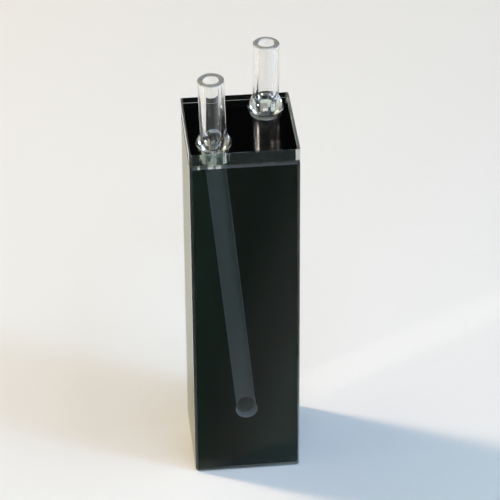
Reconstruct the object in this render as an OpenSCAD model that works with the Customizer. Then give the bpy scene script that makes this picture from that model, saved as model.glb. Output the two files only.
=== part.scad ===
// Flow-through cuvette: a black glass measuring block between two clear quartz
// windows, closed by a clear top plate that carries an inlet and an outlet tube.
// All the pieces are fused to each other. Liquid comes down the inlet tube, runs
// down a slanting channel behind the front window, crosses the block through the
// measuring bore and climbs a mirrored channel behind the rear window.
//
// Millimetres. Origin: centre of the underside. +X to the right, +Y from the
// front window to the rear window (the light path), +Z up.

/* [Body] */
// Width across the black sides
body_w = 12.5; // [11:0.5:20]
// Depth from the outside of one window to the outside of the other
body_d = 12.5; // [9:0.5:25]
// Height of the fused body, top plate included, tubes left out
body_h = 45; // [30:0.5:60]
// Thickness of each clear window
window_t = 1.25; // [1:0.05:2]
// Thickness of the clear top plate
top_plate_t = 1.75; // [1.2:0.05:3]

/* [Flow path] */
// Height of the light beam, and of the measuring bore, above the underside
beam_height = 8.5; // [6:0.5:20]
// Diameter of the measuring bore, which runs along the light path
bore_d = 2.0; // [1:0.1:2.4]
// Diameter of the round pocket where a channel meets the measuring bore
pocket_d = 2.5; // [2.4:0.1:4]
// Width of the ground channels
channel_w = 2.2; // [1:0.1:2.4]
// Depth of the channels and of their pockets
channel_depth = 1.0; // [0.5:0.1:1.5]
// Diameter of the ports, the round holes drilled through the top plate
port_d = 3.5; // [2.6:0.1:3.6]
// Distance of a port from the middle plane, along X
port_x = 3.3; // [2.2:0.1:3.8]
// Distance of the inlet port's centre from the block's front face
inlet_inset = 1.1; // [0.6:0.1:2]
// Distance of the outlet port's centre from the block's rear face
outlet_inset = 1.8; // [0.6:0.1:2]

/* [Tubes] */
// Outer diameter of a tube
tube_od = 3.0; // [2.6:0.1:3.4]
// Inner diameter of a tube
tube_id = 1.8; // [1:0.1:2.2]
// Length of a tube along its own axis, from the top plate to its rim
tube_l = 8.3; // [5:0.1:20]
// Outer diameter of the bead that closes the port round a tube
foot_d = 4.1; // [3.7:0.1:4.6]
// Height of the bead
foot_h = 1.5; // [1:0.1:3]
// Depth of a tube's round tip, which hangs in the port
tip_depth = 1.3; // [0.6:0.1:1.4]
// Diameter of the hole in the tip
tip_hole_d = 0.6; // [0.3:0.1:1]
// Height above the top plate at which the bore starts to round in
throat_h = 0.6; // [0.2:0.1:3]
// Bevel on the edges of a tube's rim
rim_bevel = 0.12; // [0.05:0.01:0.2]
// Lean of the inlet tube towards the left side, in degrees
inlet_lean_side = 1.8; // [0:0.1:4]
// Lean of the inlet tube towards the front, in degrees
inlet_lean_front = 0.3; // [0:0.1:4]
// Lean of the outlet tube towards the rear, in degrees
outlet_lean_rear = 1.8; // [0:0.1:4]
// Lean of the outlet tube towards the right side, in degrees
outlet_lean_side = 0.7; // [0:0.1:4]

/* [Edges] */
// Ground bevel on the outer edges of the body
edge_bevel = 0.3; // [0.1:0.05:0.5]
// Ground bevels on both sides of the seam under the top plate
seam_bevel = 0.25; // [0.1:0.05:0.4]
// Fine bevel on the upper edges of the top plate
top_bevel = 0.12; // [0.05:0.01:0.3]

/* [Hidden] */

$fn = 96;

// A cutter reaches this far past the faces that it opens.
past = 1;

black_glass = [0.05, 0.06, 0.06];
clear_quartz = [0.80, 0.88, 0.90, 0.45];
clear_tube = [0.88, 0.94, 0.96, 0.55];

// The block and its windows share one height, and the top plate closes them.
block_h = body_h - top_plate_t;
block_d = body_d - 2 * window_t;

// Centres of the ports on the top plate
inlet_seat = [-port_x, inlet_inset - block_d / 2, body_h];
outlet_seat = [port_x, block_d / 2 - outlet_inset, body_h];

// A channel runs from the measuring bore to below its port.
channel_rise = block_h - beam_height;
channel_slant = atan(port_x / channel_rise);

// The tip hangs this far clear of the port's wall and leaves this much glass
// under the rounded end of the bore.
tip_gap = 0.07;
tip_floor = 0.1;

// The curves of a tube's lower end are turned in this many steps each.
curve_steps = 8;

// The bead is a soft quarter wave between the tube and its foot.
function bead(r_foot, r_tube) = [
    for (i = [0 : curve_steps])
        let (s = i / curve_steps)
        [r_foot + (r_tube - r_foot) * ((1 - cos(90 * s)) * 0.55 + s * 0.45),
         foot_h * s]
];

// A wall of radius r that rounds in below z, over the depth h, like the end of a
// test tube, and stops at the radius of the hole in it. Listed from the bottom.
function rounded_end(r, z, h, hole) = [
    for (i = [0 : curve_steps])
        let (a = 90 * i / curve_steps)
        [hole + (r - hole) * sin(a), z - h * cos(a)]
];

// ---- Shared shapes ----

// A rectangle with its four corners bevelled
module bevelled_rectangle(w, d, bevel) {
    x = w / 2;
    y = d / 2;
    polygon([
        [bevel - x, -y], [x - bevel, -y], [x, bevel - y], [x, y - bevel],
        [x - bevel, y], [bevel - x, y], [-x, y - bevel], [-x, bevel - y]
    ]);
}

// A slab seen from one side: the corners at its foot and its head are bevelled
// by their own amounts.
module bevelled_side(w, h, foot_bevel, head_bevel) {
    x = w / 2;
    polygon([
        [foot_bevel - x, 0], [x - foot_bevel, 0], [x, foot_bevel], [x, h - head_bevel],
        [x - head_bevel, h], [head_bevel - x, h], [-x, h - head_bevel], [-x, foot_bevel]
    ]);
}

// A slab standing on z = 0 with every outer edge bevelled
module ground_slab(h, upright_bevel, foot_bevel, head_bevel) {
    intersection() {
        linear_extrude(h) bevelled_rectangle(body_w, body_d, upright_bevel);
        rotate([90, 0, 0])
            translate([0, 0, -body_d / 2])
                linear_extrude(body_d) bevelled_side(body_w, h, foot_bevel, head_bevel);
        rotate([90, 0, 90])
            translate([0, 0, -body_w / 2])
                linear_extrude(body_w) bevelled_side(body_d, h, foot_bevel, head_bevel);
    }
}

// The block and both windows, ground to one outline after fusing
module lower_body() {
    ground_slab(block_h, edge_bevel, edge_bevel, seam_bevel);
}

// Everything between two planes across the light path
module layer(y0, y1) {
    translate([-body_w / 2 - past, y0, -past])
        cube([body_w + 2 * past, y1 - y0, block_h + 2 * past]);
}

// The slot and pocket ground into the front face of the block
module front_channel() {
    translate([0, past - block_d / 2 - past, beam_height]) {
        translate([0, -past, 0])
            rotate([-90, 0, 0]) cylinder(d = pocket_d, h = channel_depth + past);
        rotate([0, -channel_slant, 0])
            translate([-channel_w / 2, -past, 0])
                cube([channel_w, channel_depth + past, channel_rise + 2 * past]);
    }
}

// The glass of a tube with its bead, on the z axis, reaching below z = 0
module tube_with_bead() {
    r = tube_od / 2;
    rotate_extrude()
        polygon(concat(
            [[0, -past], [foot_d / 2, -past]],
            bead(foot_d / 2, r),
            [[r, tube_l - rim_bevel], [r - rim_bevel, tube_l], [0, tube_l]]
        ));
}

// What is bored out of a tube: a straight bore, bevelled at the rim, that
// rounds in to the hole in the tip
module tube_bore() {
    r = tube_id / 2;
    hole = tip_hole_d / 2;
    rotate_extrude()
        polygon(concat(
            [[0, -tip_depth - past], [hole, -tip_depth - past]],
            rounded_end(r, throat_h, throat_h + tip_depth - tip_floor, hole),
            [[r, tube_l - rim_bevel],
             [r + rim_bevel + past, tube_l + past], [0, tube_l + past]]
        ));
}

// The round tip of the tube's lower end, hanging in the port
module round_tip() {
    rotate_extrude()
        polygon(concat(
            [[0, -tip_depth]],
            rounded_end(port_d / 2 - tip_gap, 0, tip_depth, tip_hole_d / 2),
            [[0, 0]]
        ));
}

// The tube leant over, with its bead cut off flat where it is fused to the
// top plate
module fused_tube(lean) {
    difference() {
        union() {
            difference() {
                rotate(lean) tube_with_bead();
                translate([-foot_d, -foot_d, -3 * past])
                    cube([2 * foot_d, 2 * foot_d, 3 * past]);
            }
            round_tip();
        }
        rotate(lean) tube_bore();
    }
}

// ---- Pieces ----

// Black glass core with the measuring bore and the two slanting channels
module body_block() {
    color(black_glass)
        difference() {
            intersection() {
                lower_body();
                layer(-block_d / 2, block_d / 2);
            }
            translate([0, -block_d / 2 - past, beam_height])
                rotate([-90, 0, 0]) cylinder(d = bore_d, h = block_d + 2 * past);
            front_channel();
            rotate([0, 0, 180]) front_channel();
        }
}

// Clear window fused over the inlet channel
module front_window() {
    color(clear_quartz)
        intersection() {
            lower_body();
            layer(-body_d / 2 - past, -block_d / 2);
        }
}

// Clear window fused over the outlet channel
module rear_window() {
    color(clear_quartz)
        intersection() {
            lower_body();
            layer(block_d / 2, body_d / 2 + past);
        }
}

// Clear plate that closes the body, with a port over each channel
module top_plate() {
    color(clear_quartz)
        difference() {
            translate([0, 0, block_h])
                ground_slab(top_plate_t, edge_bevel, seam_bevel, top_bevel);
            for (seat = [inlet_seat, outlet_seat])
                translate([seat[0], seat[1], block_h - past])
                    cylinder(d = port_d, h = top_plate_t + 2 * past);
        }
}

// Tube over the front channel
module inlet_tube() {
    color(clear_tube)
        translate(inlet_seat)
            fused_tube([inlet_lean_front, -inlet_lean_side, 0]);
}

// Tube over the rear channel
module outlet_tube() {
    color(clear_tube)
        translate(outlet_seat)
            fused_tube([-outlet_lean_rear, outlet_lean_side, 0]);
}

body_block();
front_window();
rear_window();
top_plate();
inlet_tube();
outlet_tube();
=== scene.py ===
import math

import bmesh
import bpy
from mathutils import Euler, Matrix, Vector, noise
from mathutils.geometry import delaunay_2d_cdt


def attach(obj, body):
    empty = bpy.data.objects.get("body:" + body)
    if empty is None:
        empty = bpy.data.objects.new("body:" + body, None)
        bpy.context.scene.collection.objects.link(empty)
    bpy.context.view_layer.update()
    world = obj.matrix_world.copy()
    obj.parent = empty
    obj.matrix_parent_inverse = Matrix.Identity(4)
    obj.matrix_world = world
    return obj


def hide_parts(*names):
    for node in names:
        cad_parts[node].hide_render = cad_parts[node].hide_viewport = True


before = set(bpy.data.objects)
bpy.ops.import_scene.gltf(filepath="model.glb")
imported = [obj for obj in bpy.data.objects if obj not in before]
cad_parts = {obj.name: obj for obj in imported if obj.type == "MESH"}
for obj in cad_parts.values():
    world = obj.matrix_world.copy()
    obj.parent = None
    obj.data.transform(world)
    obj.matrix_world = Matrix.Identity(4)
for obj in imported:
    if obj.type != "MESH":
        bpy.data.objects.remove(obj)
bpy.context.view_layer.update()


# ---- Black block ----
# A bar of opaque black quartz glass. The slanting channels and their round pockets
# are milled 1 mm deep into its front and rear faces with a diamond tool, and the
# measuring bore is drilled and lapped straight through. The sides are polished.

mm = 0.001
half = 6.25 * mm  # half of the cuvette's square outline
block_y = 4.998 * mm  # a hair behind the windows' faces, so that no two faces coincide
block_top = 43.25 * mm
foot_bevel = 0.30 * mm
head_bevel = 0.25 * mm
hand_drift = 0.03 * mm  # how far a bevel ground by hand wanders
channel_floor_y = 4.0 * mm
channel_half = 1.1 * mm
nibbled = 0.06 * mm  # how far out the tool nibbles the edge of a slot
pocket_r = 1.25 * mm
bore_r = 1.0 * mm
beam = Vector((0.0, 8.5 * mm))  # the bore's centre, across and up
port_x, port_r = 3.3 * mm, 1.75 * mm
port_y = {1: -3.9 * mm, -1: 3.2 * mm}  # the inlet's port at the front, the outlet's behind
slant = math.atan2(port_x, block_top - beam.y)
weld_reach = 0.0002 * mm  # points as near as this are welded into one
seam_reach = 0.0003 * mm  # and a point as near as this to an edge lies on it
sharp_angle = math.radians(28)  # an edge that turns by more than this stays crisp


def srgb(code):
    """A colour written as sRGB hex, as the linear values that a shader takes."""
    parts = [int(code[i:i + 2], 16) / 255 for i in (1, 3, 5)]
    return [c / 12.92 if c <= 0.04045 else ((c + 0.055) / 1.055) ** 2.4 for c in parts] + [1.0]


def add(tree, kind, settings=None, **links):
    """Adds one node: its settings, then its sockets. A socket goes by its name, or by its
    place as _0, _1 and so on, and takes a value, another node's output, or another node,
    which stands for its first output."""
    node = tree.nodes.new(kind)
    for name, value in (settings or {}).items():
        setattr(node, name, value)
    for name, value in links.items():
        by_place = name[0] == "_" and name[1:].isdigit()
        socket = node.inputs[int(name[1:]) if by_place else name.replace("_", " ")]
        if isinstance(value, bpy.types.Node):
            value = value.outputs[0]
        if isinstance(value, bpy.types.NodeSocket):
            tree.links.new(value, socket)
        else:
            socket.default_value = value
    return node


def new_material(name):
    """A node material, its tree, and the place on the piece, which its patterns follow."""
    material = bpy.data.materials.new(name)
    material.use_nodes = True
    tree = material.node_tree
    tree.nodes.clear()
    return material, tree, add(tree, "ShaderNodeTexCoord").outputs["Object"]


def spin(k, p):
    """The front half's point p, or for k = -1 its twin on the rear half, turned half round."""
    return Vector((k * p[0], k * p[1], p[2]))


def inside(loop, u, v):
    """Whether a closed line of points runs round the place u, v."""
    hit = False
    for (x1, y1), (x2, y2) in zip(loop, loop[1:] + loop[:1]):
        if (y1 > v) != (y2 > v) and u < (x2 - x1) * (v - y1) / (y2 - y1) + x1:
            hit = not hit
    return hit


def panel(bm, loops, lift, choose):
    """Fills a flat face. Its outline and the lines cut across it are closed loops in
    the face's own plane, lift puts a point in space, and choose gives the material
    slot at a place, or None where the face is open."""
    points, edges = [], []
    for loop in loops:
        start = len(points)
        points += [Vector(p) / mm for p in loop]
        edges += [(start + i, start + (i + 1) % len(loop)) for i in range(len(loop))]
    keep_inside, nearness = 1, 1e-6
    coords, _, faces, *_ = delaunay_2d_cdt(points, edges, [], keep_inside, nearness, False)
    made = [bm.verts.new(lift(*(p * mm))) for p in coords]
    for face in faces:
        u, v = sum((coords[i] for i in face), Vector((0, 0))) / len(face) * mm
        slot = choose(u, v) if inside(loops[0], u, v) else None
        if slot is not None:
            bm.faces.new([made[i] for i in face]).material_index = slot


def strip(bm, first, second, slot, closed=False):
    """Joins two lines of points that run side by side."""
    a = [bm.verts.new(p) for p in first]
    b = [bm.verts.new(p) for p in second]
    for i in range(len(a) - (0 if closed else 1)):
        j = (i + 1) % len(a)
        bm.faces.new([a[i], a[j], b[j], b[i]]).material_index = slot


def edge_line(a, b, drift, seed, count):
    """Points from a to b. A hand-ground edge wanders a little along drift, in long and
    short waves, and runs true into its ends over a tenth of its length."""
    a, b, drift = Vector(a), Vector(b), Vector(drift)
    long_wave, short_wave, run_in = 2.1 * mm, 0.5 * mm, 10
    line = []
    for i in range(count + 1):
        t = i / count
        along = t * (b - a).length
        wave = (noise.noise((seed, along / long_wave, 0.3))
                + 0.5 * noise.noise((seed, along / short_wave, 7.3)))
        line.append(a.lerp(b, t) + drift * wave * min(1.0, run_in * t, run_in * (1 - t)))
    return line


def close_seams(bm):
    """Where one flat face ends along another's edge, that edge takes the same points."""
    tiny = 1e-6
    edges = [e for e in bm.edges if len(e.link_faces) == 1]
    ends = {v for e in edges for v in e.verts}
    for e in edges:
        a, b = e.verts
        line = b.co - a.co
        found = []
        for v in ends:
            if v is not a and v is not b:
                t = (v.co - a.co).dot(line) / line.length_squared
                if tiny < t < 1 - tiny and (a.co + line * t - v.co).length < seam_reach:
                    found.append((t, v.co.copy()))
        last, done = a, 0.0
        for t, co in sorted(found, key=lambda f: f[0]):
            e, last = bmesh.utils.edge_split(e, last, (t - done) / (1 - done))
            last.co = co
            done = t
            e = next(x for x in last.link_edges if b in x.verts)
    bmesh.ops.remove_doubles(bm, verts=bm.verts, dist=weld_reach)


def finish_piece(name, bm, materials):
    """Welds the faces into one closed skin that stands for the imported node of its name."""
    bmesh.ops.remove_doubles(bm, verts=bm.verts, dist=weld_reach)
    close_seams(bm)
    bmesh.ops.recalc_face_normals(bm, faces=bm.faces)
    for face in bm.faces:
        face.smooth = True
    mesh = bpy.data.meshes.new(name + "_glass")
    bm.to_mesh(mesh)
    bm.free()
    for material in materials:
        mesh.materials.append(material)
    mesh.set_sharp_from_angle(angle=sharp_angle)
    piece = bpy.data.objects.new(name + "_glass", mesh)
    bpy.context.collection.objects.link(piece)
    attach(piece, "root")
    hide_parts(name)


# The milled slot in the plane of the front face: round the pocket, up the right
# wall, across the mouth under the top plate, and down the left wall. The port
# above covers part of the mouth, so the mouth has a point at each side of it.
up = Vector((-math.sin(slant), math.cos(slant)))
side = Vector((math.cos(slant), math.sin(slant)))


def slot_outline(extra):
    """The pocket's arc and the two ends of the mouth, for a slot cut wider by extra all round."""
    r, width, steps = pocket_r + extra, channel_half + extra, 80
    reach = math.sqrt(r * r - width * width)
    start = math.atan2(reach, -width) + slant
    end = math.atan2(reach, width) + slant + 2 * math.pi
    turns = [start + (end - start) * i / steps for i in range(steps + 1)]
    bases = [beam + s * side * width for s in (1, -1)]
    return ([beam + r * Vector((math.cos(a), math.sin(a))) for a in turns],
            [base + up * ((block_top - base.y) / up.y) for base in bases])


pocket, lips = slot_outline(0.0)
slot_line = pocket + lips
slot_walls = [lips[1]] + pocket + [lips[0]]
edge_pocket, edge_lips = slot_outline(nibbled)
slot_edge = edge_pocket + edge_lips


def circle(cx, cy, r, count=96):
    """Points round a circle."""
    angles = [2 * math.pi * i / count for i in range(count)]
    return [Vector((cx + r * math.cos(a), cy + r * math.sin(a))) for a in angles]


bore_line = circle(beam.x, beam.y, bore_r)
ports = [circle(-k * port_x, port_y[k], port_r) for k in (1, -1)]

# The outline in which the block meets each window
contact_outline = [Vector(p) for p in (
    (-half + foot_bevel, 0), (half - foot_bevel, 0), (half, foot_bevel),
    (half, block_top - head_bevel), (half - head_bevel, block_top),
    edge_lips[0], lips[0], lips[1], edge_lips[1],
    (-half + head_bevel, block_top), (-half, block_top - head_bevel), (-half, foot_bevel))]

# Polished black quartz glass: deep black with a faint green cast, in clouds as wide as
# the polishing pad left them. Seen at a grazing angle the side turns into a mirror, a
# little duller and warmer than the table it shows. Its mirror is painted brighter at the
# foot than higher up: a painted reflection.
polish_cloud = 3.8462 * mm
black_polished, t, where = new_material("black_quartz_polished")
haze = add(t, "ShaderNodeTexNoise", Vector=where, Scale=1 / polish_cloud, Detail=3.0)
rough = add(t, "ShaderNodeMapRange", Value=haze.outputs["Fac"], To_Min=0.03, To_Max=0.07)
shade = add(t, "ShaderNodeMix", {"data_type": "RGBA"}, Factor=haze.outputs["Fac"],
            _6=srgb("#070C0A"), _7=srgb("#0A100D"))
depth = add(t, "ShaderNodeBsdfDiffuse", Color=shade.outputs[2])
spot = add(t, "ShaderNodeSeparateXYZ", Vector=where)
# painted reflection: the mirror's tint is lighter at the foot, darker from 10 mm up
above_foot = add(t, "ShaderNodeMapRange", Value=spot.outputs["Z"], From_Min=2 * mm, From_Max=10 * mm)
painted_mirror_tint = add(t, "ShaderNodeMix", {"data_type": "RGBA"}, Factor=above_foot,
           _6=srgb("#EFEEE2"), _7=srgb("#E4E3D5"))
gloss = add(t, "ShaderNodeBsdfGlossy", Color=painted_mirror_tint.outputs[2], Roughness=rough)
bend = add(t, "ShaderNodeFresnel", IOR=1.46)
body = add(t, "ShaderNodeMixShader", _0=bend, _1=depth, _2=gloss)
add(t, "ShaderNodeOutputMaterial", Surface=body)

# The same glass seen through clear quartz that is fused to it: hardly any gloss is
# left at the joint, because the two glasses bend light nearly alike. Behind the windows
# its green cast is painted lighter, as painted light from the sides, along the left edge
# and in the lower right corner, and the fused face between them is painted shade.
fusing_cloud = 5.5556 * mm
corner_lean = 0.35  # how far the lit corner's border moves across for each step up
black_windowed_painted_lit, t, where = new_material("black_quartz_under_window")
cloud = add(t, "ShaderNodeTexNoise", Vector=where, Scale=1 / fusing_cloud, Detail=2.0)
shade = add(t, "ShaderNodeMix", {"data_type": "RGBA"}, Factor=cloud.outputs["Fac"],
            _6=srgb("#13241B"), _7=srgb("#182B20"))
spot = add(t, "ShaderNodeSeparateXYZ", Vector=where)
inner = add(t, "ShaderNodeMapRange", Value=spot.outputs["X"],
            From_Min=-4.5 * mm, From_Max=-1 * mm)
lower = add(t, "ShaderNodeMapRange", Value=spot.outputs["Z"],
            From_Min=10 * mm, From_Max=20 * mm, To_Min=1.0, To_Max=0.0)
off_edge = add(t, "ShaderNodeMapRange", Value=spot.outputs["X"],
               From_Min=-5.5 * mm, From_Max=-4 * mm)
lower_left = add(t, "ShaderNodeMath", {"operation": "MULTIPLY"}, _0=lower, _1=off_edge)
away = add(t, "ShaderNodeMath", {"operation": "MAXIMUM"}, _0=inner, _1=lower_left)
diagonal = add(t, "ShaderNodeMath", {"operation": "MULTIPLY_ADD"},
               _0=spot.outputs["Z"], _1=-corner_lean, _2=spot.outputs["X"])
corner = add(t, "ShaderNodeMapRange", Value=diagonal,
             From_Min=-2.5 * mm, From_Max=1 * mm, To_Min=1.0, To_Max=0.0)
# painted shade: deeper away from the left edge and the lower right corner
painted_shade = add(t, "ShaderNodeMath", {"operation": "MULTIPLY"}, _0=away, _1=corner)
tone = add(t, "ShaderNodeMix", {"data_type": "RGBA"}, Factor=painted_shade,
           _6=shade.outputs[2], _7=srgb("#0C1810"))
body = add(t, "ShaderNodeBsdfPrincipled", Base_Color=tone.outputs[2], Roughness=0.04, IOR=1.06)
add(t, "ShaderNodeOutputMaterial", Surface=body)

# The same fused glass under the top plate and at the rear window, as a darker copy painted in
# shade: less light reaches it there, and it stays black
black_fused_painted_shade, t, where = new_material("black_quartz_under_plate")
cloud = add(t, "ShaderNodeTexNoise", Vector=where, Scale=1 / fusing_cloud, Detail=2.0)
shade = add(t, "ShaderNodeMix", {"data_type": "RGBA"}, Factor=cloud.outputs["Fac"],
            _6=srgb("#060B09"), _7=srgb("#090F0C"))
body = add(t, "ShaderNodeBsdfPrincipled", Base_Color=shade.outputs[2], Roughness=0.04, IOR=1.06)
add(t, "ShaderNodeOutputMaterial", Surface=body)

# Milled black quartz: the diamond tool leaves a satin grey skin, with marks as wide as
# its diamonds
milling_mark = mm / 9
black_milled, t, where = new_material("black_quartz_milled")
grit = add(t, "ShaderNodeTexNoise", Vector=where, Scale=1 / milling_mark, Detail=2.0)
marks = add(t, "ShaderNodeBump", Strength=0.25, Distance=0.02 * mm, Height=grit.outputs["Fac"])
shade = add(t, "ShaderNodeMix", {"data_type": "RGBA"}, Factor=grit.outputs["Fac"],
            _6=srgb("#3A4849"), _7=srgb("#4F6263"))
body = add(t, "ShaderNodeBsdfPrincipled", Base_Color=shade.outputs[2], Roughness=0.55,
           Normal=marks)
add(t, "ShaderNodeOutputMaterial", Surface=body)

# The wall of a milled slot, cut by the side of the tool: rougher, and painted lighter than
# the floor, palest round the foot of the pocket, which faces up: painted light
wall_chip = mm / 7
black_wall_painted_light, t, where = new_material("black_quartz_milled_wall")
grit = add(t, "ShaderNodeTexNoise", Vector=where, Scale=1 / wall_chip, Detail=2.0)
marks = add(t, "ShaderNodeBump", Strength=0.4, Distance=0.02 * mm, Height=grit.outputs["Fac"])
shade = add(t, "ShaderNodeMix", {"data_type": "RGBA"}, Factor=grit.outputs["Fac"],
            _6=srgb("#47545A"), _7=srgb("#59686C"))
spot = add(t, "ShaderNodeSeparateXYZ", Vector=where)
# painted light: palest on the lower part of the pocket's wall, which faces up
low = add(t, "ShaderNodeMapRange", Value=spot.outputs["Z"],
          From_Min=7.9 * mm, From_Max=9.2 * mm, To_Min=1.0, To_Max=0.0)
tone = add(t, "ShaderNodeMix", {"data_type": "RGBA"}, Factor=low,
           _6=shade.outputs[2], _7=srgb("#8E9EA2"))
body = add(t, "ShaderNodeBsdfPrincipled", Base_Color=tone.outputs[2], Roughness=0.6, Normal=marks)
add(t, "ShaderNodeOutputMaterial", Surface=body)

# Black quartz ground by hand: the bevels scatter light and stay dull dark grey beside the
# polished sides. The grit, 0.03 mm in fact, is drawn nearly three times as coarse to show.
edge_grit = mm / 12
black_edge, t, where = new_material("black_quartz_edge_ground")
grit = add(t, "ShaderNodeTexNoise", Vector=where, Scale=1 / edge_grit, Detail=2.0)
shade = add(t, "ShaderNodeMix", {"data_type": "RGBA"}, Factor=grit.outputs["Fac"],
            _6=srgb("#1C2222"), _7=srgb("#2A3131"))
body = add(t, "ShaderNodeBsdfPrincipled", Base_Color=shade.outputs[2], Roughness=0.5)
add(t, "ShaderNodeOutputMaterial", Surface=body)

block_finishes = [black_polished, black_windowed_painted_lit, black_milled, black_edge, black_fused_painted_shade,
                  black_wall_painted_light]
as_polished, as_windowed, as_milled, as_ground, as_fused, as_wall = range(6)

bm = bmesh.new()
rims = {}
for k in (1, -1):
    # front face (k = 1), and the rear face, which is the front one turned half round
    panel(bm, [contact_outline, slot_line, slot_edge], lambda u, v: spin(k, (u, -block_y, v)),
          lambda u, v: None if inside(slot_line, u, v)
          else as_wall if inside(slot_edge, u, v) else as_windowed)
    # floor of the channel, open over the bore, and the walls round it
    panel(bm, [slot_line, bore_line], lambda u, v: spin(k, (u, -channel_floor_y, v)),
          lambda u, v: None if inside(bore_line, u, v) else as_milled)
    strip(bm, [spin(k, (p.x, -block_y, p.y)) for p in slot_walls],
          [spin(k, (p.x, -channel_floor_y, p.y)) for p in slot_walls], as_wall)
    # polished side with its ground foot and head bevels, from the front to the rear
    levels = [(half - foot_bevel, 0, (1, 0, 0)), (half, foot_bevel, (0, 0, 1)),
              (half, block_top - head_bevel, (0, 0, 1)), (half - head_bevel, block_top, (1, 0, 0))]
    rims[k] = [edge_line(spin(k, (x, -block_y, z)), spin(k, (x, block_y, z)),
                         Vector(drift) * hand_drift, seed=3.1 * i + k, count=26)
               for i, (x, z, drift) in enumerate(levels)]
    for i, finish in enumerate((as_ground, as_polished, as_ground)):
        strip(bm, rims[k][i], rims[k][i + 1], finish)
strip(bm, [(p.x, -channel_floor_y, p.y) for p in bore_line],
      [(p.x, channel_floor_y, p.y) for p in bore_line], as_milled, closed=True)
panel(bm, [[p.xy for k in (1, -1) for p in rims[k][0]]],
      lambda u, v: (u, v, 0), lambda u, v: as_polished)
mouth = [Vector((lips[0].x, -block_y)), Vector((lips[0].x, -channel_floor_y)),
         Vector((lips[1].x, -channel_floor_y)), Vector((lips[1].x, -block_y))]
head_outline = ([p.xy for p in rims[1][3]] + [-p for p in reversed(mouth)]
                + [p.xy for p in rims[-1][3]] + list(reversed(mouth)))
panel(bm, [head_outline] + ports, lambda u, v: (u, v, block_top),
      lambda u, v: as_milled if any(inside(p, u, v) for p in ports) else as_fused)
finish_piece("body_block", bm, block_finishes)


# ---- Windows ----
# Two polished plates of clear quartz glass, 1.25 mm thick. They are fused over the
# channels to the black block without glue, and their outer edges are then ground
# to a bevel by hand, so that no bevel keeps quite the same width.

upright = 0.30 * mm  # width of an upright bevel
joint_y = 5.0 * mm
rear_groove = 0.03 * mm  # at the rear the head edge is hardly broken
chipped = 0.14 * mm  # how far out the edge of a port is chipped
port_edges = [circle(-k * port_x, port_y[k], port_r + chipped) for k in (1, -1)]

# Polished clear quartz: colourless, mirror-smooth, with the faintest polishing haze
quartz_ior = 1.458
polish_haze = 4.5455 * mm
quartz_clear, t, where = new_material("quartz_polished")
haze = add(t, "ShaderNodeTexNoise", Vector=where, Scale=1 / polish_haze, Detail=3.0)
tint = add(t, "ShaderNodeMix", {"data_type": "RGBA"}, Factor=haze.outputs["Fac"],
           _6=srgb("#FFFFFF"), _7=srgb("#FDFEFE"))
body = add(t, "ShaderNodeBsdfPrincipled", Base_Color=tint.outputs[2], Roughness=0.0,
           IOR=quartz_ior, Transmission_Weight=1.0)
add(t, "ShaderNodeOutputMaterial", Surface=body)

# Where clear quartz is fused to clear quartz there is hardly anything left to see
joint_haze = 2.5 * mm
quartz_joint, t, where = new_material("quartz_fused_joint")
haze = add(t, "ShaderNodeTexNoise", Vector=where, Scale=1 / joint_haze)
tint = add(t, "ShaderNodeMix", {"data_type": "RGBA"}, Factor=haze.outputs["Fac"],
           _6=srgb("#FFFFFF"), _7=srgb("#FCFDFD"))
body = add(t, "ShaderNodeBsdfTransparent", Color=tint.outputs[2])
add(t, "ShaderNodeOutputMaterial", Surface=body)

# Ground quartz edge: fine-ground by hand, so it scatters light and looks grey. On the
# right it is painted paler towards the foot, as a painted reflection of the table, and
# darker about the middle of its height, as painted shade. The grit, 0.03 mm in fact, is
# drawn more than twice as coarse to show.
ground_grit = mm / 14
middle_height = 30 * mm
quartz_ground, t, where = new_material("quartz_edge_ground")
grit = add(t, "ShaderNodeTexNoise", Vector=where, Scale=1 / ground_grit, Detail=2.0)
marks = add(t, "ShaderNodeBump", Strength=0.5, Distance=0.01 * mm, Height=grit.outputs["Fac"])
rough = add(t, "ShaderNodeMapRange", Value=grit.outputs["Fac"], To_Min=0.3, To_Max=0.5)
spot = add(t, "ShaderNodeSeparateXYZ", Vector=where)
# painted reflection: less clear, and so paler, towards the foot on the right
low = add(t, "ShaderNodeMapRange", Value=spot.outputs["Z"],
          From_Min=1 * mm, From_Max=18 * mm, To_Min=0.52, To_Max=0.0)
right_half = add(t, "ShaderNodeMapRange", Value=spot.outputs["X"],
                 From_Min=-5 * mm, From_Max=4 * mm, To_Min=0.1)
painted_foot_light = add(t, "ShaderNodeMath", {"operation": "MULTIPLY"}, _0=low, _1=right_half)
clear = add(t, "ShaderNodeMath", {"operation": "SUBTRACT"}, _0=1.0, _1=painted_foot_light)
offset = add(t, "ShaderNodeMath", {"operation": "SUBTRACT"},
             _0=spot.outputs["Z"], _1=middle_height)
from_middle = add(t, "ShaderNodeMath", {"operation": "ABSOLUTE"}, _0=offset)
# painted shade: darker about the middle of the height on the right
middle = add(t, "ShaderNodeMapRange", Value=from_middle,
             From_Min=6 * mm, From_Max=13.2 * mm, To_Min=1.0, To_Max=0.0)
painted_middle_shade = add(t, "ShaderNodeMath", {"operation": "MULTIPLY"}, _0=middle, _1=right_half)
tone = add(t, "ShaderNodeMix", {"data_type": "RGBA"}, Factor=painted_middle_shade,
           _6=srgb("#CDD8D3"), _7=srgb("#A9B4AF"))
body = add(t, "ShaderNodeBsdfPrincipled", Base_Color=tone.outputs[2], Roughness=rough,
           IOR=quartz_ior, Transmission_Weight=clear, Normal=marks)
add(t, "ShaderNodeOutputMaterial", Surface=body)

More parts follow.
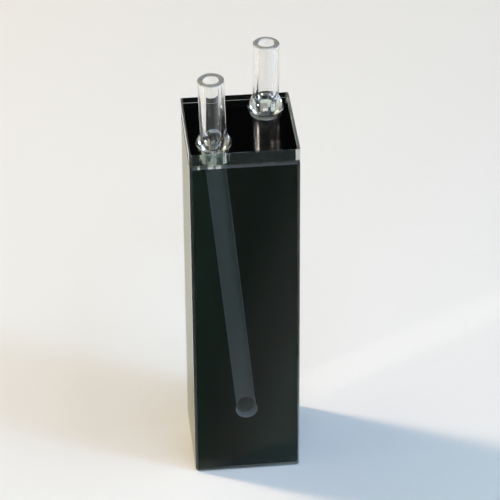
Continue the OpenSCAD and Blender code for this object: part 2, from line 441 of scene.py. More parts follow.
# Painted highlight: a pale, half-clear finish with coarse grit, where bright light is painted
highlight_grit = mm / 7
quartz_painted_highlight, t, where = new_material("quartz_edge_painted_highlight")
grit = add(t, "ShaderNodeTexNoise", Vector=where, Scale=1 / highlight_grit, Detail=3.0)
marks = add(t, "ShaderNodeBump", Strength=0.6, Distance=0.02 * mm, Height=grit.outputs["Fac"])
body = add(t, "ShaderNodeBsdfPrincipled", Base_Color=srgb("#EFE6CF"), Roughness=0.5,
           IOR=quartz_ior, Transmission_Weight=0.25, Normal=marks)
add(t, "ShaderNodeOutputMaterial", Surface=body)

# Where the drill broke through, the edge of a port is chipped: specks that catch the
# light, in groups nearly 2 mm apart
chip_spacing = 1.8182 * mm
quartz_chipped, t, where = new_material("quartz_edge_chipped")
chips = add(t, "ShaderNodeTexNoise", Vector=where, Scale=1 / chip_spacing, Detail=1.0)
amount = add(t, "ShaderNodeMapRange", Value=chips.outputs["Fac"], From_Min=0.48, From_Max=0.56)
gone = add(t, "ShaderNodeBsdfTransparent", Color=srgb("#FDFEFE"))
white = add(t, "ShaderNodeBsdfDiffuse", Color=srgb("#F2EEDC"))
body = add(t, "ShaderNodeMixShader", _0=amount, _1=gone, _2=white)
add(t, "ShaderNodeOutputMaterial", Surface=body)


glints = ((-5.3, 0.20), (-3.95, 0.33), (-2.9, 0.25))  # mm: the middle, half the width


def mark_painted_glints(bm, low, high, slot):
    """Along the front groove, the ground bevels between two heights in mm are painted bright in
    three places: painted glints of the light that comes down through the inlet port."""
    front = -6  # mm
    for face in bm.faces:
        at = face.calc_center_median() / mm
        if at.y < front and low < at.z < high and any(abs(at.x - x) < w for x, w in glints):
            face.material_index = slot


def flat(points, i, j):
    """The points of a face seen square on, by their coordinates i and j."""
    return [Vector((p[i], p[j])) for p in points]


tall, wide, stub, short = 110, 40, 14, 4  # steps in an edge: the longer it is, the more
as_clear, as_bevelled, as_contact, as_joint, as_nibbled, as_chipped, as_painted_highlight = range(7)


def window(name, k, seed, right_bevel, groove):
    """One window. right_bevel is the width of its right upright bevel, at the foot and at the
    head, and groove the width of the bevel along its outer head edge."""
    bm = bmesh.new()
    z_foot, z_head, z_groove = foot_bevel, block_top - head_bevel, block_top - groove
    right_foot, right_head = right_bevel

    def line(a, b, drift, s, count):
        """One of this window's ground edges."""
        return edge_line(spin(k, a), spin(k, b), spin(k, drift) * hand_drift, seed + s, count)

    left = [line((-half + upright, -half, z_foot), (-half + upright, -half, z_groove),
                 (1, 0, 0), 1.3, tall),
            line((-half, -half + upright, z_foot), (-half, -half + upright, z_head),
                 (0, 1, 0), 2.3, tall)]
    right = [line((half - right_foot, -half, z_foot), (half - right_head, -half, z_groove),
                  (1, 0, 0), 3.3, tall),
             line((half, -half + right_foot, z_foot), (half, -half + right_head, z_head),
                  (0, 1, 0), 4.3, tall)]
    # At the foot and at the head: the outer and inner line of the level bevel, and of the
    # short bevels that carry it on round both corners
    ends = []
    for z_face, z_side, z_in, cut, face_cut, turn in (
            (z_foot, z_foot, 0, foot_bevel, foot_bevel, right_foot),
            (z_groove, z_head, block_top, head_bevel, groove, right_head)):
        inner, front = half - cut, half - face_cut
        e = dict(
            outer=line((-half + upright, -half, z_face), (half - turn, -half, z_face),
                       (0, 0, 1), 5.3 + z_side, wide),
            inner=line((-inner, -front, z_in), (inner, -front, z_in),
                       (0, 1, 0), 6.3 + z_side, wide),
            left_outer=line((-half, -half + upright, z_side), (-half, -joint_y, z_side),
                            (0, 0, 1), 7.3, short),
            left_inner=line((-inner, -front, z_in), (-inner, -joint_y, z_in),
                            (1, 0, 0), 8.3, short),
            right_outer=line((half, -half + turn, z_side), (half, -joint_y, z_side),
                             (0, 0, 1), 9.3, short),
            right_inner=line((inner, -front, z_in), (inner, -joint_y, z_in),
                             (1, 0, 0), 10.3, short))
        for side in ("", "left_", "right_"):
            strip(bm, e[side + "outer"], e[side + "inner"], as_bevelled)
        for a, b, c in ((e["outer"][0], e["left_outer"][0], e["inner"][0]),
                        (e["outer"][-1], e["right_outer"][0], e["inner"][-1])):
            bm.faces.new([bm.verts.new(p) for p in (a, b, c)]).material_index = as_bevelled
        ends.append(e)
    # painted glints on the front window's groove bevels under the inlet's port
    mark_painted_glints(bm, low=43.0, high=43.25, slot=as_painted_highlight)
    foot, head = ends
    strip(bm, left[0], left[1], as_bevelled)
    strip(bm, right[0], right[1], as_bevelled)
    # the outer face, the two sides and the foot
    outline = foot["outer"][:-1] + right[0][:-1] + head["outer"][:0:-1] + left[0][:0:-1]
    panel(bm, [flat(outline, 0, 2)], lambda u, v: (u, -k * half, v), lambda u, v: as_clear)
    for x, edge, side in ((-half, left[1], "left_outer"), (half, right[1], "right_outer")):
        panel(bm, [flat(edge[:-1] + head[side] + foot[side][:0:-1], 1, 2)],
              lambda u, v: (k * x, u, v), lambda u, v: as_clear)
    panel(bm, [flat(foot["inner"][:-1] + foot["right_inner"] + foot["left_inner"][:0:-1], 0, 1)],
          lambda u, v: (u, v, 0), lambda u, v: as_bevelled)
    # the head under the top plate, with the port and its chipped edge
    lip_points = [spin(k, (p.x, -joint_y, p.y)) for p in lips]
    outline = (head["inner"][:-1] + head["right_inner"] + lip_points
               + head["left_inner"][:0:-1])
    port, chips = (ports[0], port_edges[0]) if k == 1 else (ports[1], port_edges[1])
    panel(bm, [flat(outline, 0, 1), port, chips], lambda u, v: (u, v, block_top),
          lambda u, v: as_clear if inside(port, u, v)
          else as_chipped if inside(chips, u, v) else as_joint)
    # the face fused to the block, open to the slot
    panel(bm, [contact_outline, slot_walls, slot_edge], lambda u, v: spin(k, (u, -joint_y, v)),
          lambda u, v: as_clear if inside(slot_walls, u, v)
          else as_nibbled if inside(slot_edge, u, v) else as_contact)
    # the front window's contact takes the painted-light copy, the rear's the painted-shade copy
    contact = black_windowed_painted_lit if k == 1 else black_fused_painted_shade
    finish_piece(name, bm, [quartz_clear, quartz_ground, contact, quartz_joint, black_wall_painted_light,
                            quartz_chipped, quartz_painted_highlight])


window("front_window", 1, seed=20.0, right_bevel=(0.19 * mm, 0.35 * mm), groove=head_bevel)
window("rear_window", -1, seed=60.0, right_bevel=(0.28 * mm, 0.33 * mm), groove=rear_groove)


# ---- Top plate ----
# A clear quartz plate, fused on top of the block and both windows. A round port is
# drilled through it under each tube, and its edges are ground to small bevels.

plate_top = 45.0 * mm
top_bevel = 0.12 * mm
broken = 0.02 * mm  # the front edge of the top is only broken, not bevelled
wide_bevel = 0.55 * mm  # the upright edge at the right of the front is ground wide
foot_r = 2.05 * mm
tube_facets = 144

# The plate's sawn sides, polished less than the faces: a thin haze stays in them, in
# smears across the sawing
sawing_smear = 3.125 * mm
quartz_side, t, where = new_material("quartz_sawn_and_polished")
smear = add(t, "ShaderNodeTexNoise", Vector=where, Scale=1 / sawing_smear, Detail=3.0)
clear = add(t, "ShaderNodeMapRange", Value=smear.outputs["Fac"],
            From_Min=0.3, From_Max=0.7, To_Min=0.988, To_Max=0.974)
body = add(t, "ShaderNodeBsdfPrincipled", Base_Color=srgb("#DDF6EA"), Roughness=0.02,
           IOR=quartz_ior, Transmission_Weight=clear)
add(t, "ShaderNodeOutputMaterial", Surface=body)

# Drilled port wall: ground white by the drill, and glazed again by the flame that
# fused the tube over it. The inlet's keeps white streaks between clear ones, the
# outlet's only a white crescent at its foot.
white_streak, flame_ripple = mm / 1.7, 0.4 * mm
quartz_flamed, t, where = new_material("quartz_drilled_and_flamed")
upright_streaks = add(t, "ShaderNodeMapping", Vector=where, Scale=(1.0, 1.0, 0.35))
patches = add(t, "ShaderNodeTexNoise", Vector=upright_streaks, Scale=1 / white_streak, Detail=2.0)
amount = add(t, "ShaderNodeMapRange", Value=patches.outputs["Fac"],
             From_Min=0.50, From_Max=0.60, To_Min=0.0, To_Max=1.0)
spot = add(t, "ShaderNodeSeparateXYZ", Vector=where)
at_inlet = add(t, "ShaderNodeMath", {"operation": "LESS_THAN"}, _0=spot.outputs["X"], _1=0.0)
foot = add(t, "ShaderNodeMapRange", Value=spot.outputs["Z"],
           From_Min=43.6 * mm, From_Max=44.6 * mm, To_Min=1.0, To_Max=0.0)
left_part = add(t, "ShaderNodeMapRange", Value=spot.outputs["X"],
                From_Min=3.6 * mm, From_Max=4.6 * mm, To_Min=1.0, To_Max=0.0)
crescent = add(t, "ShaderNodeMath", {"operation": "MULTIPLY"}, _0=foot, _1=left_part)
white_share = add(t, "ShaderNodeMix", {"data_type": "FLOAT"}, _0=at_inlet, _2=crescent, _3=amount)
ripple = add(t, "ShaderNodeTexNoise", Vector=where, Scale=1 / flame_ripple, Detail=2.0)
marks = add(t, "ShaderNodeBump", Strength=0.35, Distance=0.02 * mm, Height=ripple.outputs["Fac"])
glass = add(t, "ShaderNodeBsdfPrincipled", Base_Color=srgb("#FFFFFF"), Roughness=0.25,
            IOR=quartz_ior, Transmission_Weight=1.0, Normal=marks)
through = add(t, "ShaderNodeBsdfTranslucent", Color=srgb("#F4F4EC"))
ground = add(t, "ShaderNodeBsdfDiffuse", Color=srgb("#F4F4EC"))
white = add(t, "ShaderNodeMixShader", _0=0.5, _1=through, _2=ground)
body = add(t, "ShaderNodeMixShader", _0=white_share, _1=glass, _2=white)
add(t, "ShaderNodeOutputMaterial", Surface=body)

tubes = {  # name: the axis's foot, how far the tube leans, and the height of its flare
    "inlet_tube": (Vector((-port_x, port_y[1], plate_top)),
                   Euler((math.radians(0.3), math.radians(-1.8), 0.0)), 1.15 * mm),
    "outlet_tube": (Vector((port_x, port_y[-1], plate_top)),
                    Euler((math.radians(-1.8), math.radians(0.7), 0.0)), 1.5 * mm),
}


def foot_outline(name):
    """Where the foot of a leaning tube meets the plate: its ring, slid along the tube's axis
    until it lies flat."""
    base, lean, _ = tubes[name]
    turn = lean.to_matrix()
    axis = turn @ Vector((0, 0, 1))
    ring = [turn @ p.to_3d() for p in circle(0, 0, foot_r, tube_facets)]
    return [(base + p - axis * (p.z / axis.z)).xy for p in ring]


def quarter(n, p):
    """Turns a point of the plate's front side to its n-th side."""
    for _ in range(n):
        p = (-p[1], p[0], p[2])
    return Vector(p)


def plate_line(n, a, b, drift, s, count):
    """One of the ground edges round the plate's n-th side."""
    return edge_line(quarter(n, a), quarter(n, b), quarter(n, drift) * hand_drift,
                     90 + 7 * n + s, count)


# Bevels of the four sides from the front anticlockwise: along the foot, along the
# top, and the upright edge that follows, ground wide at the front and bearing a painted highlight
foot_cuts = [head_bevel, head_bevel, rear_groove, head_bevel]
head_cuts = [broken, top_bevel, top_bevel, top_bevel]
edge_cuts = [wide_bevel, upright, upright, upright]
sides = []
for n in range(4):
    before, cut, after = (foot_cuts[i % 4] for i in (n - 1, n, n + 1))
    before_top, top_cut, after_top = (head_cuts[i % 4] for i in (n - 1, n, n + 1))
    z0, y0, z1, y1 = block_top + cut, cut - half, plate_top - top_cut, top_cut - half
    a, b = -half + upright, half - edge_cuts[n]
    # the broken edge at the front runs truer, and the wide bevel beside it wanders more
    true_edge, rough_edge = (0.2, 3.0) if n == 0 else (1, 1.0)
    sides.append(dict(
        foot_in=plate_line(n, (before - half, y0, block_top), (half - after, y0, block_top),
                           (0, 1, 0), 1.3, wide),
        foot_out=plate_line(n, (a, -half, z0), (b, -half, z0), (0, 0, 1), 2.3, wide),
        head_out=plate_line(n, (a, -half, z1), (b, -half, z1), (0, 0, true_edge), 3.3, wide),
        head_in=plate_line(n, (before_top - half, y1, plate_top),
                           (half - after_top, y1, plate_top), (0, true_edge, 0), 4.3, wide),
        left=plate_line(n, (a, -half, z0), (a, -half, z1), (1, 0, 0), 5.3, stub),
        right=plate_line(n, (b, -half, z0), (b, -half, z1), (rough_edge, 0, 0), 6.3, stub)))

plate_finishes = [quartz_clear, quartz_ground, black_fused_painted_shade, quartz_joint, quartz_flamed,
                  quartz_side, quartz_painted_highlight, quartz_chipped]
(plate_clear, plate_bevelled, plate_on_block, plate_joint, plate_flamed,
 plate_sawn, plate_painted_highlight, plate_chipped) = range(8)

bm = bmesh.new()
for n in range(4):
    e, after = sides[n], sides[(n + 1) % 4]
    in_front = n == 0
    strip(bm, e["foot_in"], e["foot_out"], plate_bevelled)
    strip(bm, e["head_out"], e["head_in"], plate_sawn if in_front else plate_bevelled)
    # painted highlight on the wide upright bevel at the front
    strip(bm, e["right"], after["left"], plate_painted_highlight if in_front else plate_bevelled)
    for a, b, c in ((e["right"][0], after["left"][0], e["foot_in"][-1]),
                    (e["right"][-1], after["left"][-1], e["head_in"][-1])):
        bm.faces.new([bm.verts.new(p) for p in (a, b, c)]).material_index = plate_bevelled
    # painted glints on the front foot bevel under the inlet's port
    if in_front:
        mark_painted_glints(bm, low=43.3, high=43.5, slot=plate_painted_highlight)
    outline = e["foot_out"][:-1] + e["right"][:-1] + e["head_out"][:0:-1] + e["left"][:0:-1]
    i = n % 2
    fixed = e["foot_out"][0][1 - i]
    panel(bm, [flat(outline, i, 2)], lambda u, v: (fixed, u, v) if i else (u, fixed, v),
          lambda u, v: plate_sawn)

foot_loops = [foot_outline(name) for name in tubes]


def top_slot(u, v):
    """The finish of the top face: fused under the tubes' feet, and open at the ports."""
    if any(inside(p, u, v) for p in ports):
        return None
    return plate_joint if any(inside(p, u, v) for p in foot_loops) else plate_clear


panel(bm, [[p.xy for e in sides for p in e["head_in"][:-1]]] + foot_loops + ports,
      lambda u, v: (u, v, plate_top), top_slot)

mouths = [[k * Vector((p.x, p.y)) for p in mouth] for k in (1, -1)]
joint_lines = [[Vector((x, k * joint_y)) for x in (head_bevel - half, half - head_bevel)]
               for k in (1, -1)]


def under_slot(u, v):
    """The finish of the underside: clear over a channel's mouth, black on the block, joined
    to the windows outside it, and open at the ports."""
    if any(inside(p, u, v) for p in ports):
        return None
    if any(inside(m, u, v) for m in mouths):
        return plate_clear
    if abs(v) > joint_y and any(inside(p, u, v) for p in port_edges):
        return plate_chipped
    return plate_on_block if abs(v) < joint_y else plate_joint


underside = [[p.xy for e in sides for p in e["foot_in"][:-1]]]
panel(bm, underside + ports + port_edges + mouths + joint_lines,
      lambda u, v: (u, v, block_top), under_slot)
for port in ports:
    strip(bm, [(p.x, p.y, block_top) for p in port], [(p.x, p.y, plate_top) for p in port],
          plate_flamed, closed=True)
finish_piece("top_plate", bm, plate_finishes)


# ---- Tubes ----
# Two drawn tubes of clear quartz. A glassblower flares one end of each in the flame
# and fuses it over a port; the other end is sawn and ground. Done by hand, so each
# tube leans a little.

tube_r, tube_bore_r = 1.5 * mm, 0.9 * mm
hole_r, tip_depth, throat_height = 0.3 * mm, 1.3 * mm, 0.6 * mm
tip_wall, tip_gap = 0.1 * mm, 0.07 * mm  # thickness of the tip, and its clearance in the port
tube_length, rim_bevel = 8.3 * mm, 0.12 * mm
flared_to = 3.2 * mm  # above this height the wall is straight
levelled_to = 1.2 * mm  # below this height its rings tip level with the plate
deposit_from = 0.96 * mm  # the deposit in the bore starts at this height

# Drawn quartz: fire-bright, with faint draw lines along the tube. They are finer in
# fact, and drawn 0.7 mm apart to show.
draw_line = mm / 1.5
quartz_drawn, t, where = new_material("quartz_drawn")
stretch = add(t, "ShaderNodeMapping", Vector=where, Scale=(1.0, 1.0, 0.03))
lines = add(t, "ShaderNodeTexNoise", Vector=stretch, Scale=1 / draw_line, Detail=1.0)
marks = add(t, "ShaderNodeBump", Strength=0.03, Distance=0.01 * mm, Height=lines.outputs["Fac"])
body = add(t, "ShaderNodeBsdfPrincipled", Base_Color=srgb("#FFFFFF"), Roughness=0.0,
           IOR=quartz_ior, Transmission_Weight=1.0, Normal=marks)
add(t, "ShaderNodeOutputMaterial", Surface=body)

# Inside the drawn tube a thin deposit stays from the flame: a faint bluish haze
deposit_cloud = mm / 0.7
quartz_bore, t, where = new_material("quartz_drawn_bore")
smear = add(t, "ShaderNodeTexNoise", Vector=where, Scale=1 / deposit_cloud, Detail=2.0)
amount = add(t, "ShaderNodeMapRange", Value=smear.outputs["Fac"],
             From_Min=0.3, From_Max=0.7, To_Min=0.02, To_Max=0.06)
glass = add(t, "ShaderNodeBsdfPrincipled", Base_Color=srgb("#FFFFFF"), Roughness=0.0,
            IOR=quartz_ior, Transmission_Weight=1.0)
veil = add(t, "ShaderNodeBsdfTranslucent", Color=srgb("#E6EEF4"))
body = add(t, "ShaderNodeMixShader", _0=amount, _1=glass, _2=veil)
add(t, "ShaderNodeOutputMaterial", Surface=body)

# Sawn and ground tube end: a dull pale ring, with marks as wide as the saw's diamonds
saw_mark = mm / 9
quartz_sawn, t, where = new_material("quartz_sawn_rim")
grit = add(t, "ShaderNodeTexNoise", Vector=where, Scale=1 / saw_mark, Detail=3.0)
marks = add(t, "ShaderNodeBump", Strength=0.6, Distance=0.02 * mm, Height=grit.outputs["Fac"])
body = add(t, "ShaderNodeBsdfPrincipled", Base_Color=srgb("#CFCFC9"), Roughness=0.45,
           IOR=quartz_ior, Transmission_Weight=0.7, Normal=marks)
add(t, "ShaderNodeOutputMaterial", Surface=body)


def flare(s, height):
    """Radius of the wall at height s: a quarter wave that runs softly into the straight tube."""
    bowed, straight = 0.55, 0.45  # shares of the wave and of a straight taper
    run_out, soft = 0.8, 0.10 * mm  # the slope past the flare, and how softly it ends
    x = s / height
    curve = (bowed * (1 - math.cos(math.pi / 2 * min(x, 1.0))) + straight * x
             + run_out * max(0.0, x - 1))
    over = (foot_r - tube_r) * (1 - curve)
    return tube_r + (over + math.sqrt(over * over + soft * soft)) / 2


def rounded_end(r, top, depth, steps):
    """Radii and heights of a wall that rounds in like the end of a test tube, from the hole up."""
    fullness = 1.25
    turns = [math.pi / 2 * i / steps for i in range(steps + 1)]
    return [(hole_r + (r - hole_r) * math.sin(a) ** fullness, top - depth * math.cos(a))
            for a in turns]


def wall_profile(flare_height):
    """The tube's wall cut along its axis, as a closed line of radii and heights: up the
    outside, over the rim, down the bore, round the tip's hole and back up to the foot."""
    flared_steps, straight_steps = 40, 12
    straight_part = tube_length - rim_bevel - flared_to
    heights = ([flared_to * i / flared_steps for i in range(flared_steps)]
               + [flared_to + straight_part * i / straight_steps
                  for i in range(straight_steps + 1)])
    outer = [(foot_r, 0.0)] + [(flare(s, flare_height), s) for s in heights[1:]]
    rim = [(tube_r - rim_bevel, tube_length), (tube_bore_r + rim_bevel, tube_length)]
    inner = [(tube_bore_r, s) for s in heights if s > throat_height + 0.01 * mm]
    throat_depth = throat_height + tip_depth - tip_wall
    throat = rounded_end(tube_bore_r, throat_height, throat_depth, steps=28)
    tip = rounded_end(port_r - tip_gap, 0.0, tip_depth, steps=20)
    return outer + rim + inner[::-1] + throat[::-1] + tip + [(port_r, 0.0)]


# The tubes are turned by one tree of geometry nodes. It carries the profile round a
# circle, leans the result, and gives each stretch of the wall its finish.
turned_tube = bpy.data.node_groups.new("turned_tube", "GeometryNodeTree")
for label, kind in (("Profile", "Geometry"), ("Facets", "Int"), ("Foot Centre", "Vector"),
                    ("Lean", "Vector"), ("Levelled Height", "Float"), ("Joint Radius", "Float"),
                    ("Deposit Height", "Float"), ("Sawn Height", "Float")):
    turned_tube.interface.new_socket(label, in_out="INPUT", socket_type=f"NodeSocket{kind}")
turned_tube.interface.new_socket("Tube", in_out="OUTPUT", socket_type="NodeSocketGeometry")
t = turned_tube
size = add(t, "NodeGroupInput").outputs
place = add(t, "GeometryNodeInputPosition")

# Two curves, the wall's profile and a circle of radius 1. The positions of their points
# are held, to be read again on the turned wall.
profile = add(t, "GeometryNodeMeshToCurve", Mesh=size["Profile"])
ring = add(t, "GeometryNodeCurvePrimitiveCircle", {"mode": "RADIUS"},
           Resolution=size["Facets"], Radius=1.0)
held = {}
for label, curve in (("Wall", profile), ("Bearing", ring)):
    held[label] = add(t, "GeometryNodeCaptureAttribute", Geometry=curve.outputs["Curve"])
    held[label].capture_items.new("VECTOR", label)
    t.links.new(place.outputs[0], held[label].inputs[label])
wall = add(t, "GeometryNodeCurveToMesh", Curve=held["Bearing"].outputs["Geometry"],
           Profile_Curve=held["Wall"].outputs["Geometry"])
at = add(t, "ShaderNodeSeparateXYZ", Vector=held["Wall"].outputs["Wall"])
radius, height = at.outputs["X"], at.outputs["Z"]
turn = add(t, "FunctionNodeEulerToRotation", Euler=size["Lean"])
axis = add(t, "FunctionNodeRotateVector", Vector=(0, 0, 1), Rotation=turn)
spoke = add(t, "ShaderNodeVectorMath", {"operation": "SCALE"},
            _0=held["Bearing"].outputs["Bearing"], Scale=radius)
spoke = add(t, "FunctionNodeRotateVector", Vector=spoke, Rotation=turn)

# Near the plate each ring tips level with it, so that the foot stands flat
rise = add(t, "ShaderNodeSeparateXYZ", Vector=spoke)
upward = add(t, "ShaderNodeSeparateXYZ", Vector=axis)
tip_by = add(t, "ShaderNodeMath", {"operation": "DIVIDE"},
             _0=rise.outputs["Z"], _1=upward.outputs["Z"])
above = add(t, "ShaderNodeMath", {"operation": "ABSOLUTE"}, _0=height)
near = add(t, "ShaderNodeMapRange", Value=above,
           From_Max=size["Levelled Height"], To_Min=1.0, To_Max=0.0)
level = add(t, "ShaderNodeMath", {"operation": "POWER"}, _0=near, _1=2.0)
lowered = add(t, "ShaderNodeMath", {"operation": "MULTIPLY"}, _0=level, _1=tip_by)
along = add(t, "ShaderNodeMath", {"operation": "SUBTRACT"}, _0=height, _1=lowered)
climb = add(t, "ShaderNodeVectorMath", {"operation": "SCALE"}, _0=axis, Scale=along)
offset = add(t, "ShaderNodeVectorMath", {"operation": "ADD"}, _0=spoke, _1=climb)
point = add(t, "ShaderNodeVectorMath", {"operation": "ADD"}, _0=size["Foot Centre"], _1=offset)
wall = add(t, "GeometryNodeSetPosition", Geometry=wall, Position=point)
wall = add(t, "GeometryNodeRealizeInstances", Geometry=wall)

# The wall is drawn glass, but for its fused foot, the hazy bore and the sawn rim
tests = {}
for label, value, operation, limit in (
        ("on the plate", above, "LESS_THAN", 0.001 * mm),
        ("outside the port", radius, "GREATER_THAN", size["Joint Radius"]),
        ("above the throat", height, "GREATER_THAN", size["Deposit Height"]),
        ("in the bore", radius, "LESS_THAN", 1.1 * tube_bore_r),
        ("at the rim", height, "GREATER_THAN", size["Sawn Height"])):
    tests[label] = add(t, "FunctionNodeCompare", {"data_type": "FLOAT", "operation": operation},
                       _0=value, _1=limit)
joint = add(t, "FunctionNodeBooleanMath", {"operation": "AND"},
            _0=tests["on the plate"], _1=tests["outside the port"])
deposit = add(t, "FunctionNodeBooleanMath", {"operation": "AND"},
              _0=tests["above the throat"], _1=tests["in the bore"])
wall = add(t, "GeometryNodeSetMaterial", Geometry=wall, Material=quartz_drawn)
for chosen, material in ((joint, quartz_joint), (deposit, quartz_bore),
                         (tests["at the rim"], quartz_sawn)):
    wall = add(t, "GeometryNodeSetMaterial", Geometry=wall,
               Selection=chosen, Material=material)
add(t, "NodeGroupOutput", Tube=wall)

for name, (base, lean, flare_height) in tubes.items():
    line = wall_profile(flare_height)
    mesh = bpy.data.meshes.new(name + "_profile")
    mesh.from_pydata([(r, 0.0, s) for r, s in line],
                     [(i, (i + 1) % len(line)) for i in range(len(line))], [])
    blank = bpy.data.objects.new(name + "_blank", mesh)
    bpy.context.collection.objects.link(blank)
    turning = blank.modifiers.new("turning", "NODES")
    turning.node_group = turned_tube
    sizes = {"Facets": tube_facets, "Foot Centre": base, "Lean": Vector(lean),
             "Levelled Height": levelled_to, "Joint Radius": port_r,
             "Deposit Height": deposit_from, "Sawn Height": tube_length - rim_bevel}
    for socket in turned_tube.interface.items_tree:
        if socket.name in sizes:
            turning[socket.identifier] = sizes[socket.name]
    depsgraph = bpy.context.evaluated_depsgraph_get()
    turned = bpy.data.meshes.new_from_object(blank.evaluated_get(depsgraph))
    bpy.data.objects.remove(blank)
    bm = bmesh.new()
    bm.from_mesh(turned)
    finish_piece(name, bm, list(turned.materials))


# ---- Table, lamps and camera ----
# A pale matt table, its top just under the foot of the cuvette. A warm lamp stands on
# the left behind it and a weaker cool one on the right in front of it. Four broad soft
# lights fill in from around.

table_half, table_gap = 2.5, 0.02 * mm
shade_lean = 0.3  # how far the border of the painted shade moves across for each step back

# Matt card: pale and even. Its fibres are finer than the flecks drawn here, which are
# as coarse as they need to show. Beside the polished left side its tone is painted
# lighter, as painted light that the glass throws back. Close in front of the foot it is
# painted dark green for glossy rays only, a painted shade that shows where glass mirrors it.
fibre_fleck = mm / 0.9
table_pale, t, where = new_material("table_matt")
fibre = add(t, "ShaderNodeTexNoise", Vector=where, Scale=1 / fibre_fleck, Detail=2.0)
tone = add(t, "ShaderNodeMix", {"data_type": "RGBA"}, Factor=fibre.outputs["Fac"],
           _6=srgb("#EAEAE7"), _7=srgb("#ECECE9"))
spot = add(t, "ShaderNodeSeparateXYZ", Vector=where)
# painted light beside the polished left side
from_side = add(t, "ShaderNodeMath", {"operation": "ADD"}, _0=spot.outputs["X"], _1=6 * mm)
apart = add(t, "ShaderNodeMath", {"operation": "ABSOLUTE"}, _0=from_side)
beside = add(t, "ShaderNodeMapRange", Value=apart, From_Max=12 * mm, To_Min=1.0, To_Max=0.0)
starts = add(t, "ShaderNodeMapRange", Value=spot.outputs["Y"], From_Min=-2 * mm, From_Max=3 * mm)
fades = add(t, "ShaderNodeMapRange", Value=spot.outputs["Y"],
            From_Min=18 * mm, From_Max=45 * mm, To_Min=1.0, To_Max=0.0)
painted_lift = add(t, "ShaderNodeMath", {"operation": "MULTIPLY"}, _0=starts, _1=fades)
painted_lift = add(t, "ShaderNodeMath", {"operation": "MULTIPLY"}, _0=painted_lift, _1=beside)
tone = add(t, "ShaderNodeMix", {"data_type": "RGBA"}, Factor=painted_lift,
           _6=tone.outputs[2], _7=srgb("#F4F8FB"))
body = add(t, "ShaderNodeBsdfDiffuse", Color=tone.outputs[2], Roughness=0.0)
path = add(t, "ShaderNodeLightPath")
# painted shade close in front of the foot, seen only by glossy rays
slope = add(t, "ShaderNodeMath", {"operation": "MULTIPLY_ADD"},
            _0=spot.outputs["Y"], _1=shade_lean, _2=spot.outputs["X"])
shade = add(t, "ShaderNodeMapRange", Value=slope,
            From_Min=-10.5 * mm, From_Max=9 * mm, To_Min=0.86, To_Max=0.0)
front = add(t, "ShaderNodeMapRange", Value=spot.outputs["Y"],
            From_Min=-9 * mm, From_Max=-6.5 * mm, To_Min=1.0, To_Max=0.0)
near = add(t, "ShaderNodeMath", {"operation": "MULTIPLY"}, _0=shade, _1=front)
dim = add(t, "ShaderNodeMath", {"operation": "MULTIPLY"},
          _0=near, _1=path.outputs["Is Glossy Ray"])
dark = add(t, "ShaderNodeBsdfDiffuse", Color=srgb("#2A4034"))
mixed = add(t, "ShaderNodeMixShader", _0=dim, _1=body, _2=dark)
add(t, "ShaderNodeOutputMaterial", Surface=mixed)

bm = bmesh.new()
bmesh.ops.create_grid(bm, x_segments=1, y_segments=1, size=table_half)
bmesh.ops.translate(bm, verts=bm.verts, vec=(0, 0, -table_gap))
mesh = bpy.data.meshes.new("table")
bm.to_mesh(mesh)
bm.free()
mesh.materials.append(table_pale)
table = bpy.data.objects.new("table", mesh)
bpy.context.collection.objects.link(table)


def bearing(azimuth, height):
    """The direction of a place seen at these two angles, in degrees."""
    a, h = math.radians(azimuth), math.radians(height)
    return Vector((math.cos(a) * math.cos(h), math.sin(a) * math.cos(h), math.sin(h)))


aimed_at = Vector((0, 0, 20 * mm))


def lamp(name, azimuth, height, away, size, power, colour):
    """A round soft light, size metres wide and away metres off, aimed at the cuvette."""
    light = bpy.data.lights.new(name, "AREA")
    light.shape = "DISK"
    light.size = size
    light.energy = power
    light.color = colour
    holder = bpy.data.objects.new(name, light)
    place = bearing(azimuth, height) * away
    holder.location = place + aimed_at
    holder.rotation_euler = (-place).to_track_quat("-Z", "Y").to_euler()
    bpy.context.collection.objects.link(holder)


# The warm lamp is a disc with a small bright core. Three thin pale discs over it make
# it whiter where the glass mirrors it, while its light on the table stays warm.
warm = 155.2, 36
lamp("warm_lamp", *warm, 0.9, 0.15, 2.75, (1.0, 0.476, 0.12))
for i in range(3):
    lamp(f"warm_cover_{i + 1}", *warm, 0.901 + 0.001 * i, 0.15, 0.70, (0.857, 1.0, 1.0))
lamp("warm_core", *warm, 0.89, 0.045, 1.6, (1.0, 0.75, 0.535))
lamp("cool_lamp", -27, 28, 0.9, 0.20, 2.66, (0.432, 0.643, 1.0))
lamp("soft_front", -80, 60, 0.45, 0.3, 0.86, (0.686, 0.79, 1.0))
lamp("soft_right", -20, 60, 0.45, 0.3, 0.61, (0.64, 0.82, 1.0))
lamp("soft_left", 180, 60, 0.45, 0.3, 0.30, (0.967, 1.0, 0.667))
lamp("soft_back", 130, 50, 0.9, 0.6, 0.58, (0.79, 1.0, 0.845))

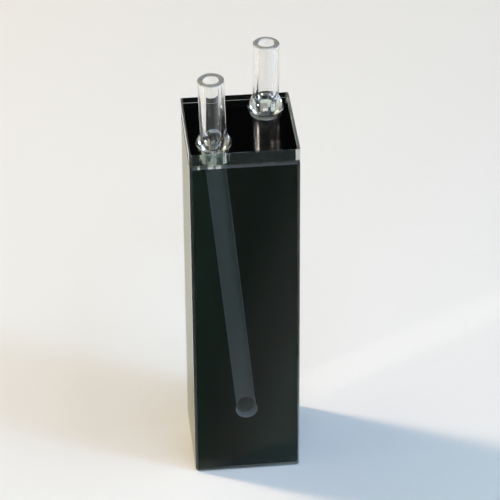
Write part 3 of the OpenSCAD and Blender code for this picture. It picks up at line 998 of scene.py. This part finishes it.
# The rear window throws a faint streak of the warm lamp's light back on the table. A
# narrow beam, as wide as that reflection and behind the cuvette, draws it here.
beam_light = bpy.data.lights.new("streak", "AREA")
beam_light.shape = "RECTANGLE"
beam_light.size, beam_light.size_y = 5.2 * mm, 36 * mm
beam_light.spread = math.radians(10)
beam_light.energy = 0.00005
beam_light.color = (1.0, 0.93, 0.87)
streak = bpy.data.objects.new("streak", beam_light)
streak.location = Vector((16.8, 13.6, 15.1)) * mm
streak.rotation_euler = bearing(29, -36).to_track_quat("-Z", "Y").to_euler()
bpy.context.collection.objects.link(streak)

# The room: pale round about, dark overhead and behind, and pale where it is seen
world = bpy.data.worlds.new("studio")
world.use_nodes = True
bpy.context.scene.world = world
t = world.node_tree
t.nodes.clear()
path = add(t, "ShaderNodeLightPath")
around = add(t, "ShaderNodeTexCoord")
split = add(t, "ShaderNodeSeparateXYZ", Vector=around.outputs["Generated"])
back_high = add(t, "ShaderNodeMath", {"operation": "MULTIPLY_ADD"},
                _0=split.outputs["Y"], _1=0.5, _2=split.outputs["Z"])
high = add(t, "ShaderNodeMapRange", Value=back_high, From_Min=0.0, From_Max=0.7)
tone = add(t, "ShaderNodeMix", {"data_type": "RGBA"}, Factor=high,
           _6=srgb("#CDCDC9"), _7=srgb("#262829"))
lit = add(t, "ShaderNodeMix", {"data_type": "RGBA"}, Factor=path.outputs["Is Diffuse Ray"],
          _6=tone.outputs[2], _7=srgb("#080808"))
seen = add(t, "ShaderNodeMix", {"data_type": "RGBA"}, Factor=path.outputs["Is Camera Ray"],
           _6=lit.outputs[2], _7=srgb("#EBEBE7"))
back = add(t, "ShaderNodeBackground", Color=seen.outputs[2], Strength=1.0)
add(t, "ShaderNodeOutputWorld", Surface=back)

# A long lens, looking down on the cuvette from the front
view = bpy.data.cameras.new("camera")
view.lens = 212.08
view.sensor_width = 36.0
view.clip_start = 0.01
camera = bpy.data.objects.new("camera", view)
camera.location = (-0.02619, -0.28323, 0.22084)
camera.rotation_euler = [math.radians(turn) for turn in (55.80267, 0.35125, -5.73649)]
bpy.context.collection.objects.link(camera)
bpy.context.scene.camera = camera
bpy.context.scene.view_settings.view_transform = "Standard"
